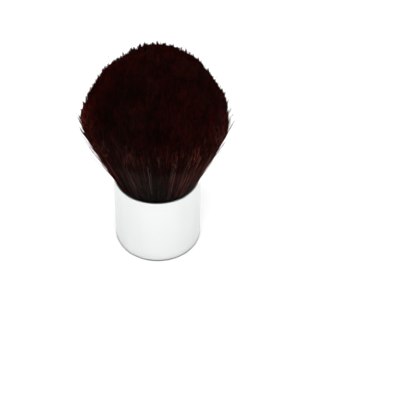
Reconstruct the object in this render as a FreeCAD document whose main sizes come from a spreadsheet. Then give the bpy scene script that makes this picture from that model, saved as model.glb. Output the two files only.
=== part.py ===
# Kabuki make-up brush: a polished metal handle shell, a moulded cup that is glued inside it and
# weighted below, and a domed tuft of hair that is bound with thread and set in the cup with resin.
# Millimetres, +Z up. The origin is the centre of the flat foot, and the Z axis is the brush's own axis.
import FreeCAD
import Part
import Sketcher

import math
import os

from FreeCAD import Vector

# Driving dimensions. Lengths are in millimetres and angles in degrees.
SIZES = {
    # Handle shell, drawn from aluminium
    "handle_diameter": 30.0,
    "handle_height": 29.0,
    "shell_wall": 0.8,
    "shell_floor": 1.0,
    "foot_radius": 1.0,
    "floor_corner_radius": 0.5,
    "lip_radius": 0.3,
    # Hair cup, a moulded insert with a socket for the tuft above its floor and a skirt below it
    "cup_clearance": 0.1,
    "cup_wall": 1.0,
    "rim_drop": 0.5,
    "rim_radius": 0.25,
    "socket_depth": 15.0,
    "cup_floor": 1.2,
    "skirt_wall": 1.0,
    "groove_depth": 0.4,
    "groove_height": 4.0,
    "groove_below_rim": 6.0,
    # Holes in the cup's floor that the resin runs through and locks in
    "key_hole_diameter": 2.4,
    "key_hole_inset": 5.6,
    "key_hole_count": 6,
    # Ribs inside the skirt that centre the ballast
    "rib_width": 1.2,
    "rib_height": 1.0,
    "rib_count": 6,
    # Ballast and adhesive
    "ballast_chamfer": 0.8,
    "ballast_clearance": 0.1,
    "ballast_headroom": 0.6,
    "glue_bed_thickness": 0.4,
    "glue_bed_margin": 1.5,
    "glue_clearance": 0.03,
    # Resin and binding
    "resin_height": 5.0,
    "resin_clearance": 0.05,
    "thread_diameter": 0.8,
    "thread_gap": 0.45,
    "thread_turns": 4,
    "thread_margin": 0.3,
    "thread_clearance": 0.1,
    # Hair: it bulges over the lip, flares to the shoulder and is trimmed to a dome
    "hair_clearance": 0.15,
    "bulge_overhang": 0.9,
    "bulge_rise": 3.5,
    "head_diameter": 48.8,
    "shoulder_rise": 25.5,
    "crown_rise": 25.0,
    "crown_sink": 8.0,
    # Locks in each ring, and where each ring ends as a share of the tuft's radius at any height
    "outer_locks": 18,
    "middle_locks": 12,
    "inner_locks": 6,
    "middle_ring": 0.74,
    "inner_ring": 0.48,
    "core_ring": 0.22,
    "ring_gap": 0.3,
    "parting_angle": 1.8,
    "lock_corner": 0.5,
}

# Two rounded edges of one wall leave a flat between them.
MOST_ROUND = 0.45
LIP_ROUND = f"min(Sizes.lip_radius; {MOST_ROUND} * Sizes.shell_wall)"
RIM_ROUND = f"min(Sizes.rim_radius; {MOST_ROUND} * Sizes.cup_wall)"

# Expressions on the sheet that more than one piece uses: radii first, then heights above the foot.
HANDLE_R = "(Sizes.handle_diameter / 2)"
BORE_R = f"({HANDLE_R} - Sizes.shell_wall)"
CUP_R = f"({BORE_R} - Sizes.cup_clearance)"
SOCKET_R = f"({CUP_R} - Sizes.cup_wall)"
SKIRT_R = f"({CUP_R} - Sizes.skirt_wall)"
GROOVE_R = f"({CUP_R} - Sizes.groove_depth)"
RIB_R = f"({SKIRT_R} - Sizes.rib_height)"
BALLAST_R = f"({RIB_R} - Sizes.ballast_clearance)"
KEY_R = "(Sizes.key_hole_diameter / 2)"
KEY_CIRCLE_R = f"({SOCKET_R} - Sizes.key_hole_inset)"
THREAD_R = "(Sizes.thread_diameter / 2)"
THREAD_PITCH = "(Sizes.thread_diameter + Sizes.thread_gap)"
WINDING_R = f"({SOCKET_R} - Sizes.thread_clearance - {THREAD_R})"
BOUND_R = f"({WINDING_R} - {THREAD_R} - Sizes.thread_clearance)"
MOUTH_R = f"({SOCKET_R} - Sizes.hair_clearance)"
BULGE_R = f"({HANDLE_R} + Sizes.bulge_overhang)"
HEAD_R = "(Sizes.head_diameter / 2)"

SKIRT_CHAMFER = "(Sizes.floor_corner_radius + Sizes.cup_clearance)"
RIM_Z = "(Sizes.handle_height - Sizes.rim_drop)"
SOCKET_Z = f"({RIM_Z} - Sizes.socket_depth)"
CUP_UNDERSIDE_Z = f"({SOCKET_Z} - Sizes.cup_floor)"
GROOVE_TOP_Z = f"({RIM_Z} - Sizes.groove_below_rim)"
GROOVE_BOTTOM_Z = f"({GROOVE_TOP_Z} - Sizes.groove_height)"
BALLAST_Z = "(Sizes.shell_floor + Sizes.glue_bed_thickness)"
BALLAST_TOP_Z = f"({CUP_UNDERSIDE_Z} - Sizes.ballast_headroom)"
RESIN_Z = f"({SOCKET_Z} + Sizes.resin_height)"
WINDING_Z = f"({RESIN_Z} + Sizes.thread_margin + {THREAD_R})"
BOUND_TOP_Z = f"({WINDING_Z} + Sizes.thread_turns * {THREAD_PITCH} + {THREAD_R} + Sizes.thread_margin)"
BULGE_Z = "(Sizes.handle_height + Sizes.bulge_rise)"
SHOULDER_Z = "(Sizes.handle_height + Sizes.shoulder_rise)"
CROWN_Z = f"({SHOULDER_Z} + Sizes.crown_rise)"
CROWN_CENTRE_Z = f"({SHOULDER_Z} - Sizes.crown_sink)"

# The hair runs straight on from the bulge through the shoulder, past the dome that it is trimmed to.
UNTRIMMED_Z = f"({CROWN_Z} + Sizes.crown_sink)"
FLARE = f"(({HEAD_R} - {BULGE_R}) / ({SHOULDER_Z} - {BULGE_Z}))"
UNTRIMMED_R = f"({HEAD_R} + {FLARE} * ({UNTRIMMED_Z} - {SHOULDER_Z}))"

# Where the tuft is cut across: the radius of its envelope and the height, from the resin to past the dome.
TUFT_SECTIONS = [
    (BOUND_R, RESIN_Z),
    (BOUND_R, BOUND_TOP_Z),
    (MOUTH_R, RIM_Z),
    (BULGE_R, BULGE_Z),
    (UNTRIMMED_R, UNTRIMMED_Z),
]

TOLERANCE = 1e-4
BIARCS_PER_TURN = 4
SAMPLES_PER_BIARC = 12

# Sketcher's numbers for its axes, its origin and the points of an edge.
X_AXIS_LINE = -1
Z_AXIS_LINE = -2
ORIGIN_POINT = (-1, 1)
START = 1
END = 2
CENTRE = 3

doc = FreeCAD.newDocument("KabukiBrush")
sheet = doc.addObject("Spreadsheet::Sheet", "Sizes")
for row, (alias, number) in enumerate(SIZES.items(), start=1):
    sheet.set(f"A{row}", alias)
    sheet.set(f"B{row}", str(number))
    sheet.setAlias(f"B{row}", alias)
doc.recompute()


def value(expression):
    """Number that an expression on the sheet gives now."""
    return float(sheet.evalExpression(expression))


def new_body(label):
    """Empty body whose label names its file."""
    return doc.addObject("PartDesign::Body", label)


def origin_feature(body, role):
    """Origin plane or axis of a body, found by its role."""
    return next(item for item in body.Origin.OriginFeatures if item.Role == role)


def new_sketch(body, name, plane="XZ_Plane", height=None):
    """Sketch on one of the body's own origin planes, raised to a height given as an expression."""
    sketch = body.newObject("Sketcher::SketchObject", name)
    sketch.AttachmentSupport = [(origin_feature(body, plane), "")]
    sketch.MapMode = "FlatFace"
    if height is not None:
        sketch.setExpression("AttachmentOffset.Base.z", height)
    return sketch


def bind(sketch, constraint, name, expression):
    """Add a dimension to a sketch and tie it to an expression on the sheet."""
    index = sketch.addConstraint(constraint)
    sketch.renameConstraint(index, name)
    sketch.setExpression(f"Constraints.{name}", expression)


def draw_outline(sketch, corners):
    """Closed outline of straight edges. Each corner is a pair of expressions, and "0" lies on the axis."""
    points = [Vector(value(x), value(y), 0) for x, y in corners]
    count = len(points)
    for index in range(count):
        sketch.addGeometry(Part.LineSegment(points[index], points[(index + 1) % count]))
    for index in range(count):
        sketch.addConstraint(
            Sketcher.Constraint("Coincident", index, END, (index + 1) % count, START)
        )
    for index, (x, y) in enumerate(corners):
        if x == "0":
            sketch.addConstraint(Sketcher.Constraint("PointOnObject", index, START, Z_AXIS_LINE))
        else:
            across = Sketcher.Constraint("DistanceX", *ORIGIN_POINT, index, START, points[index].x)
            bind(sketch, across, f"across_{index}", x)
        if y == "0":
            sketch.addConstraint(Sketcher.Constraint("PointOnObject", index, START, X_AXIS_LINE))
        else:
            up = Sketcher.Constraint("DistanceY", *ORIGIN_POINT, index, START, points[index].y)
            bind(sketch, up, f"up_{index}", y)


def draw_rectangle(sketch, near, far, half_width):
    """Rectangle across the X axis, from one distance to another along it."""
    x_near = value(near)
    x_far = value(far)
    y_half = value(half_width)
    points = [
        Vector(x_near, -y_half, 0),
        Vector(x_far, -y_half, 0),
        Vector(x_far, y_half, 0),
        Vector(x_near, y_half, 0),
    ]
    for index in range(4):
        sketch.addGeometry(Part.LineSegment(points[index], points[(index + 1) % 4]))
    for index in range(4):
        sketch.addConstraint(Sketcher.Constraint("Coincident", index, END, (index + 1) % 4, START))
    sketch.addConstraint(Sketcher.Constraint("Horizontal", 0))
    sketch.addConstraint(Sketcher.Constraint("Horizontal", 2))
    sketch.addConstraint(Sketcher.Constraint("Vertical", 3))
    sketch.addConstraint(Sketcher.Constraint("Symmetric", 1, START, 1, END, X_AXIS_LINE))
    bind(sketch, Sketcher.Constraint("DistanceX", *ORIGIN_POINT, 0, START, x_near), "near", near)
    bind(sketch, Sketcher.Constraint("DistanceX", *ORIGIN_POINT, 1, START, x_far), "far", far)
    bind(sketch, Sketcher.Constraint("DistanceY", *ORIGIN_POINT, 1, END, y_half), "half", half_width)


def draw_circle(sketch, along_x, radius):
    """Circle centred on the X axis."""
    centre = Vector(value(along_x), 0, 0)
    sketch.addGeometry(Part.Circle(centre, Vector(0, 0, 1), value(radius)))
    sketch.addConstraint(Sketcher.Constraint("PointOnObject", 0, CENTRE, X_AXIS_LINE))
    bind(sketch, Sketcher.Constraint("DistanceX", *ORIGIN_POINT, 0, CENTRE, centre.x), "along", along_x)
    bind(sketch, Sketcher.Constraint("Radius", 0, value(radius)), "radius", radius)


def revolve(body, name, corners):
    """Solid of revolution about Z from the corners of its half section."""
    sketch = new_sketch(body, f"{name}_section")
    draw_outline(sketch, corners)
    turned = body.newObject("PartDesign::Revolution", name)
    turned.Profile = sketch
    turned.ReferenceAxis = (sketch, ["V_Axis"])
    turned.Angle = 360
    doc.recompute()


def ring_edges(feature, radius, height):
    """Names of a feature's circular edges of this radius round Z at this height."""
    names = []
    for index, edge in enumerate(feature.Shape.Edges, start=1):
        if not isinstance(edge.Curve, Part.Circle):
            continue
        off_radius = abs(edge.Curve.Radius - value(radius))
        off_height = abs(edge.Curve.Center.z - value(height))
        if max(off_radius, off_height) < TOLERANCE:
            names.append(f"Edge{index}")
    return names


def round_edges(body, name, rings, radius):
    """Fillet on the rings of edges given as (radius, height) pairs of expressions."""
    base = body.Tip
    edges = [edge for ring in rings for edge in ring_edges(base, *ring)]
    fillet = body.newObject("PartDesign::Fillet", name)
    fillet.Base = (base, edges)
    fillet.setExpression("Radius", radius)
    doc.recompute()


def repeat_round(body, feature, count):
    """Copies of a feature, or of the whole body where none is given, evenly spaced round Z."""
    pattern = body.newObject("PartDesign::PolarPattern", f"{(feature or body).Name}_round")
    if feature:
        pattern.Originals = [feature]
    else:
        pattern.TransformMode = "Whole shape"
    pattern.Axis = (origin_feature(body, "Z_Axis"), [""])
    pattern.Angle = 360
    pattern.setExpression("Occurrences", count)
    body.Tip = pattern
    doc.recompute()


def make_handle_shell():
    """Drawn cup with a flat foot, a rounded foot edge and a thin rounded lip."""
    body = new_body("handle_shell")
    corners = [
        ("0", "0"),
        (HANDLE_R, "0"),
        (HANDLE_R, "Sizes.handle_height"),
        (BORE_R, "Sizes.handle_height"),
        (BORE_R, "Sizes.shell_floor"),
        ("0", "Sizes.shell_floor"),
    ]
    revolve(body, "drawn_cup", corners)
    round_edges(body, "foot_edge", [(HANDLE_R, "0")], "Sizes.foot_radius")
    round_edges(body, "floor_corner", [(BORE_R, "Sizes.shell_floor")], "Sizes.floor_corner_radius")
    lip = [(HANDLE_R, "Sizes.handle_height"), (BORE_R, "Sizes.handle_height")]
    round_edges(body, "lip_edges", lip, LIP_ROUND)
    return body


def make_hair_cup():
    """Moulded insert: socket with key holes in its floor, glue groove, and a ribbed skirt below."""
    body = new_body("hair_cup")
    corners = [
        (SOCKET_R, RIM_Z),
        (CUP_R, RIM_Z),
        (CUP_R, GROOVE_TOP_Z),
        (GROOVE_R, GROOVE_TOP_Z),
        (GROOVE_R, GROOVE_BOTTOM_Z),
        (CUP_R, GROOVE_BOTTOM_Z),
        (CUP_R, f"Sizes.shell_floor + {SKIRT_CHAMFER}"),
        (f"{CUP_R} - {SKIRT_CHAMFER}", "Sizes.shell_floor"),
        (SKIRT_R, "Sizes.shell_floor"),
        (SKIRT_R, CUP_UNDERSIDE_Z),
        ("0", CUP_UNDERSIDE_Z),
        ("0", SOCKET_Z),
        (SOCKET_R, SOCKET_Z),
    ]
    revolve(body, "cup_wall_and_floor", corners)
    round_edges(body, "rim_edges", [(SOCKET_R, RIM_Z), (CUP_R, RIM_Z)], RIM_ROUND)

    rib_sketch = new_sketch(body, "rib_section", "XY_Plane", "Sizes.shell_floor")
    rib_root = f"{SKIRT_R} + Sizes.skirt_wall / 2"
    draw_rectangle(rib_sketch, RIB_R, rib_root, "Sizes.rib_width / 2")
    rib = body.newObject("PartDesign::Pad", "ballast_rib")
    rib.Profile = rib_sketch
    rib.setExpression("Length", f"{CUP_UNDERSIDE_Z} - Sizes.shell_floor")
    doc.recompute()
    repeat_round(body, rib, "Sizes.rib_count")

    volume_before = body.Shape.Volume
    hole_sketch = new_sketch(body, "key_hole_section", "XY_Plane", SOCKET_Z)
    draw_circle(hole_sketch, KEY_CIRCLE_R, KEY_R)
    hole = body.newObject("PartDesign::Pocket", "key_hole")
    hole.Profile = hole_sketch
    hole.setExpression("Length", "Sizes.cup_floor")
    doc.recompute()
    repeat_round(body, hole, "Sizes.key_hole_count")
    if body.Shape.Volume >= volume_before:
        raise RuntimeError("The key holes cut nothing out of the cup's floor")
    return body


def make_ballast_slug():
    """Turned steel slug with chamfered ends, which lowers the brush's centre of mass."""
    body = new_body("ballast_slug")
    corners = [
        ("0", BALLAST_Z),
        (f"{BALLAST_R} - Sizes.ballast_chamfer", BALLAST_Z),
        (BALLAST_R, f"{BALLAST_Z} + Sizes.ballast_chamfer"),
        (BALLAST_R, f"{BALLAST_TOP_Z} - Sizes.ballast_chamfer"),
        (f"{BALLAST_R} - Sizes.ballast_chamfer", BALLAST_TOP_Z),
        ("0", BALLAST_TOP_Z),
    ]
    revolve(body, "turned_slug", corners)
    return body


def make_glue_bed():
    """Layer of adhesive between the shell's floor and the ballast."""
    bed = doc.addObject("Part::Cylinder", "glue_bed")
    bed.setExpression("Radius", f"{BALLAST_R} - Sizes.ballast_chamfer - Sizes.glue_bed_margin")
    bed.setExpression("Height", "Sizes.glue_bed_thickness")
    bed.setExpression("Placement.Base.z", "Sizes.shell_floor")
    doc.recompute()
    return bed


def make_glue_ring():
    """Band of adhesive that fills the cup's groove out to the shell."""
    body = new_body("glue_ring")
    inner = f"{GROOVE_R} + Sizes.glue_clearance"
    outer = f"{BORE_R} - Sizes.glue_clearance"
    corners = [
        (inner, f"{GROOVE_BOTTOM_Z} + Sizes.glue_clearance"),
        (outer, f"{GROOVE_BOTTOM_Z} + Sizes.glue_clearance"),
        (outer, f"{GROOVE_TOP_Z} - Sizes.glue_clearance"),
        (inner, f"{GROOVE_TOP_Z} - Sizes.glue_clearance"),
    ]
    revolve(body, "glue_band", corners)
    return body


def make_root_resin():
    """Resin block on the cup's floor, with a peg down each key hole."""
    body = new_body("root_resin")
    resin_r = f"{SOCKET_R} - Sizes.resin_clearance"
    corners = [
        ("0", SOCKET_Z),
        (resin_r, SOCKET_Z),
        (resin_r, RESIN_Z),
        ("0", RESIN_Z),
    ]
    revolve(body, "resin_block", corners)
    peg_sketch = new_sketch(body, "peg_section", "XY_Plane", SOCKET_Z)
    draw_circle(peg_sketch, KEY_CIRCLE_R, f"{KEY_R} - Sizes.resin_clearance")
    peg = body.newObject("PartDesign::Pad", "key_peg")
    peg.Profile = peg_sketch
    peg.Reversed = True
    peg.setExpression("Length", "Sizes.cup_floor")
    doc.recompute()
    repeat_round(body, peg, "Sizes.key_hole_count")
    return body


def winding_point(turn):
    """Point of the thread's centre line after a number of turns."""
    angle = 2 * math.pi * turn
    radius = value(WINDING_R)
    height = value(WINDING_Z) + value(THREAD_PITCH) * turn
    return Vector(radius * math.cos(angle), radius * math.sin(angle), height)


def winding_tangent(turn):
    """Direction of the thread after a number of turns."""
    angle = 2 * math.pi * turn
    around = 2 * math.pi * value(WINDING_R)
    return Vector(-around * math.sin(angle), around * math.cos(angle), value(THREAD_PITCH)).normalize()


def tangent_arc(start, corner, end):
    """Arc from start to end whose end tangents meet in the corner."""
    middle = (start + end) / 2
    half_chord = start.distanceToPoint(end) / 2
    rise = corner - middle
    half_turn = math.atan2(rise.Length, half_chord)
    top = middle + rise.normalize() * half_chord * math.tan(half_turn / 2)
    return Part.Arc(start, top, end).toShape()


def biarc(start, start_direction, end, end_direction):
    """Two arcs from start to end that keep both directions and share one where they meet."""
    chord = end - start
    turn = 2 * (1 - start_direction.dot(end_direction))
    along = 2 * chord.dot(start_direction + end_direction)
    reach = (math.sqrt(along * along + 4 * turn * chord.dot(chord)) - along) / (2 * turn)
    first_corner = start + start_direction * reach
    second_corner = end - end_direction * reach
    joint = (first_corner + second_corner) / 2
    return [tangent_arc(start, first_corner, joint), tangent_arc(joint, second_corner, end)]


def make_binding_thread():
    """Thread wound round the bound root of the tuft, one unbroken tube on biarcs of a quarter turn."""
    turns = value("Sizes.thread_turns")
    steps = math.ceil(BIARCS_PER_TURN * turns)
    edges = []
    for step in range(steps):
        before = turns * step / steps
        after = turns * (step + 1) / steps
        ends = (winding_point(before), winding_tangent(before), winding_point(after), winding_tangent(after))
        edges.extend(biarc(*ends))
    path = Part.Wire(edges)
    section = Part.Wire(Part.makeCircle(value(THREAD_R), winding_point(0), winding_tangent(0)))
    tube = path.makePipeShell([section], True, False)
    thread = doc.addObject("Part::Feature", "binding_thread")
    thread.Shape = tube if tube.ShapeType == "Solid" else Part.Solid(tube)
    thread.Placement = FreeCAD.Placement()
    report_thread_gap(turns, steps * SAMPLES_PER_BIARC)
    return thread


def report_thread_gap(turns, count):
    """Print the least gap between neighbouring turns of the thread, measured on points of its path."""
    points = [winding_point(turns * index / count) for index in range(count + 1)]
    half_turn = round(count / turns / 2)
    least = min(
        points[first].distanceToPoint(points[second])
        for first in range(len(points))
        for second in range(first + half_turn, len(points))
    )
    print(f"binding_thread: least gap to itself {least - value('Sizes.thread_diameter'):.3f} mm")


def draw_lock(sketch, envelope, inner_share, outer_share, count, outermost):
    """Ring sector with rounded corners: one lock cut across, where the tuft has the envelope's radius."""
    scale = f"({envelope} / {MOUTH_R})"
    half_gap = f"Sizes.ring_gap / 2 * {scale}"
    inner = f"{envelope} * {inner_share} + {half_gap}"
    outer = envelope if outermost else f"{envelope} * {outer_share} - {half_gap}"
    corner = f"Sizes.lock_corner * {scale}"
    half_angle = f"180 / {count} - Sizes.parting_angle / 2"

    inner_r = value(inner)
    outer_r = value(outer)
    corner_r = value(corner)
    side = math.radians(value(half_angle))
    inner_turn = side - math.asin(corner_r / (inner_r + corner_r))
    outer_turn = side - math.asin(corner_r / (outer_r - corner_r))
    along_inner = math.sqrt((inner_r + corner_r) ** 2 - corner_r ** 2)
    along_outer = math.sqrt((outer_r - corner_r) ** 2 - corner_r ** 2)
    quarter = math.pi / 2

    def at(radius, angle):
        return Vector(radius * math.cos(angle), radius * math.sin(angle), 0)

    def arc(centre, radius, begin, finish):
        circle = Part.Circle(centre, Vector(0, 0, 1), radius)
        return Part.ArcOfCircle(circle, begin, finish)

    outer_arc = sketch.addGeometry(arc(Vector(), outer_r, -outer_turn, outer_turn))
    outer_left = sketch.addGeometry(
        arc(at(outer_r - corner_r, outer_turn), corner_r, outer_turn, side + quarter)
    )
    left = sketch.addGeometry(Part.LineSegment(at(along_inner, side), at(along_outer, side)))
    inner_left = sketch.addGeometry(
        arc(at(inner_r + corner_r, inner_turn), corner_r, side + quarter, inner_turn + math.pi)
    )
    inner_arc = sketch.addGeometry(arc(Vector(), inner_r, -inner_turn, inner_turn))
    inner_right = sketch.addGeometry(
        arc(at(inner_r + corner_r, -inner_turn), corner_r, math.pi - inner_turn, 3 * quarter - side)
    )
    right = sketch.addGeometry(Part.LineSegment(at(along_inner, -side), at(along_outer, -side)))
    outer_right = sketch.addGeometry(
        arc(at(outer_r - corner_r, -outer_turn), corner_r, -side - quarter, -outer_turn)
    )

    joints = [
        (outer_arc, END, outer_left, START),
        (outer_left, END, left, END),
        (left, START, inner_left, START),
        (inner_left, END, inner_arc, END),
        (inner_arc, START, inner_right, START),
        (inner_right, END, right, START),
        (right, END, outer_right, START),
        (outer_right, END, outer_arc, START),
    ]
    for joint in joints:
        sketch.addConstraint(Sketcher.Constraint("Tangent", *joint))
    for ring in (outer_arc, inner_arc):
        sketch.addConstraint(Sketcher.Constraint("Coincident", ring, CENTRE, *ORIGIN_POINT))
    for line in (left, right):
        sketch.addConstraint(Sketcher.Constraint("PointOnObject", *ORIGIN_POINT, line))
    for corner_arc in (inner_left, inner_right, outer_right):
        sketch.addConstraint(Sketcher.Constraint("Equal", outer_left, corner_arc))
    bind(sketch, Sketcher.Constraint("Angle", left, side), "left_side", half_angle)
    bind(sketch, Sketcher.Constraint("Angle", right, -side), "right_side", f"-({half_angle})")
    bind(sketch, Sketcher.Constraint("Radius", outer_arc, outer_r), "outer", outer)
    bind(sketch, Sketcher.Constraint("Radius", inner_arc, inner_r), "inner", inner)
    bind(sketch, Sketcher.Constraint("Radius", outer_left, corner_r), "corner", corner)
    doc.recompute()


def trim_to_crown(body):
    """Cut the hair of a body to the dome, an ellipse turned about Z that starts at the shoulder."""
    sketch = new_sketch(body, f"{body.Name}_crown_section")
    centre_z = value(CROWN_CENTRE_Z)
    shoulder_z = value(SHOULDER_Z)
    height = f"({CROWN_Z} - {CROWN_CENTRE_Z})"
    across = f"({HEAD_R} / sqrt(1 - (Sizes.crown_sink / {height}) ^ 2))"
    reach = f"({UNTRIMMED_R} + {HEAD_R})"
    top = f"({UNTRIMMED_Z} + Sizes.crown_sink)"

    centre = Vector(0, centre_z, 0)
    apex = centre + Vector(0, value(height), 0)
    ellipse = Part.Ellipse(apex, centre - Vector(value(across), 0, 0), centre)
    shoulder_turn = math.acos(value("Sizes.crown_sink") / value(height))
    dome = sketch.addGeometry(Part.ArcOfEllipse(ellipse, -shoulder_turn, 0))
    sketch.exposeInternalGeometry(dome)
    major_axis = dome + 1
    minor_axis = dome + 2
    corners = [
        apex,
        Vector(0, value(top), 0),
        Vector(value(reach), value(top), 0),
        Vector(value(reach), shoulder_z, 0),
        Vector(value(HEAD_R), shoulder_z, 0),
    ]
    lines = [sketch.addGeometry(Part.LineSegment(*pair)) for pair in zip(corners, corners[1:])]
    axis_line, top_line, far_line, shoulder_line = lines

    sketch.addConstraint(Sketcher.Constraint("Coincident", dome, END, axis_line, START))
    sketch.addConstraint(Sketcher.Constraint("Coincident", axis_line, END, top_line, START))
    sketch.addConstraint(Sketcher.Constraint("Coincident", top_line, END, far_line, START))
    sketch.addConstraint(Sketcher.Constraint("Coincident", far_line, END, shoulder_line, START))
    sketch.addConstraint(Sketcher.Constraint("Coincident", shoulder_line, END, dome, START))
    sketch.addConstraint(Sketcher.Constraint("PointOnObject", dome, CENTRE, Z_AXIS_LINE))
    sketch.addConstraint(Sketcher.Constraint("Vertical", major_axis))
    sketch.addConstraint(Sketcher.Constraint("PointOnObject", dome, END, Z_AXIS_LINE))
    sketch.addConstraint(Sketcher.Constraint("PointOnObject", axis_line, END, Z_AXIS_LINE))
    sketch.addConstraint(Sketcher.Constraint("Horizontal", top_line))
    sketch.addConstraint(Sketcher.Constraint("Vertical", far_line))
    sketch.addConstraint(Sketcher.Constraint("Horizontal", shoulder_line))
    dimensions = [
        ("DistanceY", (*ORIGIN_POINT, dome, CENTRE), "centre_height", CROWN_CENTRE_Z),
        ("DistanceY", (*ORIGIN_POINT, dome, START), "shoulder_height", SHOULDER_Z),
        ("DistanceY", (*ORIGIN_POINT, top_line, END), "top_height", top),
        ("DistanceX", (*ORIGIN_POINT, far_line, START), "reach", reach),
        ("Distance", (major_axis,), "dome_height", f"2 * {height}"),
        ("Distance", (minor_axis,), "dome_width", f"2 * {across}"),
    ]
    for kind, places, name, expression in dimensions:
        bind(sketch, Sketcher.Constraint(kind, *places, value(expression)), name, expression)

    volume_before = body.Shape.Volume
    groove = body.newObject("PartDesign::Groove", f"{body.Name}_crown")
    groove.Profile = sketch
    groove.ReferenceAxis = (sketch, ["V_Axis"])
    groove.Angle = 360
    doc.recompute()
    if body.Shape.Volume >= volume_before:
        raise RuntimeError(f"{body.Label}: the crown trimmed nothing")


def make_hair_core():
    """Lock in the middle of the tuft, round all along."""
    body = new_body("hair_core")
    corners = [("0", UNTRIMMED_Z), ("0", RESIN_Z)]
    for envelope, height in TUFT_SECTIONS:
        half_gap = f"Sizes.ring_gap / 2 * {envelope} / {MOUTH_R}"
        corners.append((f"{envelope} * Sizes.core_ring - {half_gap}", height))
    revolve(body, "core_lock", corners)
    trim_to_crown(body)
    return body


def make_lock_ring(label, inner_share, outer_share, count, outermost=False):
    """Ring of locks, each lofted through its sections, trimmed to the dome and repeated round the tuft."""
    body = new_body(label)
    sections = []
    for index, (envelope, height) in enumerate(TUFT_SECTIONS):
        sketch = new_sketch(body, f"{label}_section_{index}", "XY_Plane", height)
        draw_lock(sketch, envelope, inner_share, outer_share, count, outermost)
        sections.append(sketch)
    lock = body.newObject("PartDesign::AdditiveLoft", f"{label}_lock")
    lock.Profile = sections[0]
    lock.Sections = sections[1:]
    lock.Ruled = True
    doc.recompute()
    trim_to_crown(body)
    repeat_round(body, None, count)
    return body


def check_document(parts):
    """Stop if any object failed, or if a sub-part isn't made of sound solids."""
    failed = [item.Name for item in doc.Objects if {"Invalid", "Error"} & set(item.State)]
    if failed:
        raise RuntimeError(f"Failed objects: {', '.join(failed)}")
    for part in parts:
        if part.Shape.isNull() or not part.Shape.isValid() or not part.Shape.Solids:
            raise RuntimeError(f"{part.Label} isn't a sound solid")


def main():
    """Build every sub-part, check the document and write one file for each."""
    parts = [
        make_handle_shell(),
        make_hair_cup(),
        make_ballast_slug(),
        make_glue_bed(),
        make_glue_ring(),
        make_root_resin(),
        make_binding_thread(),
        make_hair_core(),
        make_lock_ring("hair_inner_locks", "Sizes.core_ring", "Sizes.inner_ring", "Sizes.inner_locks"),
        make_lock_ring("hair_middle_locks", "Sizes.inner_ring", "Sizes.middle_ring", "Sizes.middle_locks"),
        make_lock_ring("hair_outer_locks", "Sizes.middle_ring", "1", "Sizes.outer_locks", outermost=True),
    ]
    doc.recompute()
    check_document(parts)
    os.makedirs("parts", exist_ok=True)
    for part in parts:
        part.Shape.exportStep(f"parts/{part.Label}.step")
        print(f"{part.Label}: {len(part.Shape.Solids)} solids, {part.Shape.Volume:.1f} mm3")


main()
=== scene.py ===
"""Looks of a kabuki make-up brush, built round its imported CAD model.

The solids give the handle, the cup and what lies inside them, and this script dresses those. It winds
a twisted thread in place of the plain winding, and grows the tuft hair by hair in place of its solid
locks. The fields of the classes hold millimetres and degrees. Meshes are in metres, in the CAD frame.
"""

import logging
import math
from dataclasses import asdict, dataclass
from enum import Enum
from typing import Any

import bpy
from mathutils import Matrix, Vector


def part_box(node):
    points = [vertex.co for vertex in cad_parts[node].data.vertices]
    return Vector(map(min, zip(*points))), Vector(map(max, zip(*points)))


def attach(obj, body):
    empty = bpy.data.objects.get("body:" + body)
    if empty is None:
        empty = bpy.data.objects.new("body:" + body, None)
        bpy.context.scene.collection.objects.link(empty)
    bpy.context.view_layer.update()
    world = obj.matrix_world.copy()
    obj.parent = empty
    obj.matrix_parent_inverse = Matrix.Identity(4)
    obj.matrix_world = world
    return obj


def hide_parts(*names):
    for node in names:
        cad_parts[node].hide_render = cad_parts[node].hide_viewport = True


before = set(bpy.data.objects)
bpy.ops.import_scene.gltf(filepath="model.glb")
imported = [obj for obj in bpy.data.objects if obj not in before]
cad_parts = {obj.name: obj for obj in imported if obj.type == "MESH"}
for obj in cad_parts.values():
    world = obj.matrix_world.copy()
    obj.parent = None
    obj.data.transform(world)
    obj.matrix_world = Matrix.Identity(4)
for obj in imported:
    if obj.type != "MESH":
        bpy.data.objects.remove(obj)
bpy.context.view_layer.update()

LOG = logging.getLogger("kabuki_brush")
MM = 0.001
BODY = "root"
# Kinds of node that the trees use most.
NUMBER = "ShaderNodeMath"
VECTOR = "ShaderNodeVectorMath"
RANGE = "ShaderNodeMapRange"
BLEND = "ShaderNodeMix"
RAMP = "ShaderNodeValToRGB"
NOISE = "ShaderNodeTexNoise"
CELLS = "ShaderNodeTexVoronoi"
PLACE = "ShaderNodeTexCoord"
BUMP = "ShaderNodeBump"
CHANCE = "FunctionNodeRandomValue"
CARRIED = "GeometryNodeInputNamedAttribute"
CARRY = "GeometryNodeStoreNamedAttribute"
CAPTURE = "GeometryNodeCaptureAttribute"
COPIES = "GeometryNodeDuplicateElements"
CIRCLE = "GeometryNodeCurvePrimitiveCircle"
TUBES = "GeometryNodeCurveToMesh"
# Most of a noise pattern lies between these values, round its middle.
NOISE_LOW = 0.3
NOISE_HIGH = 0.7
NOISE_SPAN = {"From Min": NOISE_LOW, "From Max": NOISE_HIGH}
NOISE_MIDDLE = (0.5, 0.5, 0.5)
# A vector times this lies level.
LEVEL = (1, 1, 0)
FULL_TURN = 2 * math.pi

Inputs = dict[str | int, Any]
Piece = bpy.types.Object
Material = bpy.types.Material
Mesh = bpy.types.Mesh
Node = bpy.types.Node
Tree = bpy.types.NodeTree
Stops = tuple[tuple[float, str], ...]


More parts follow.
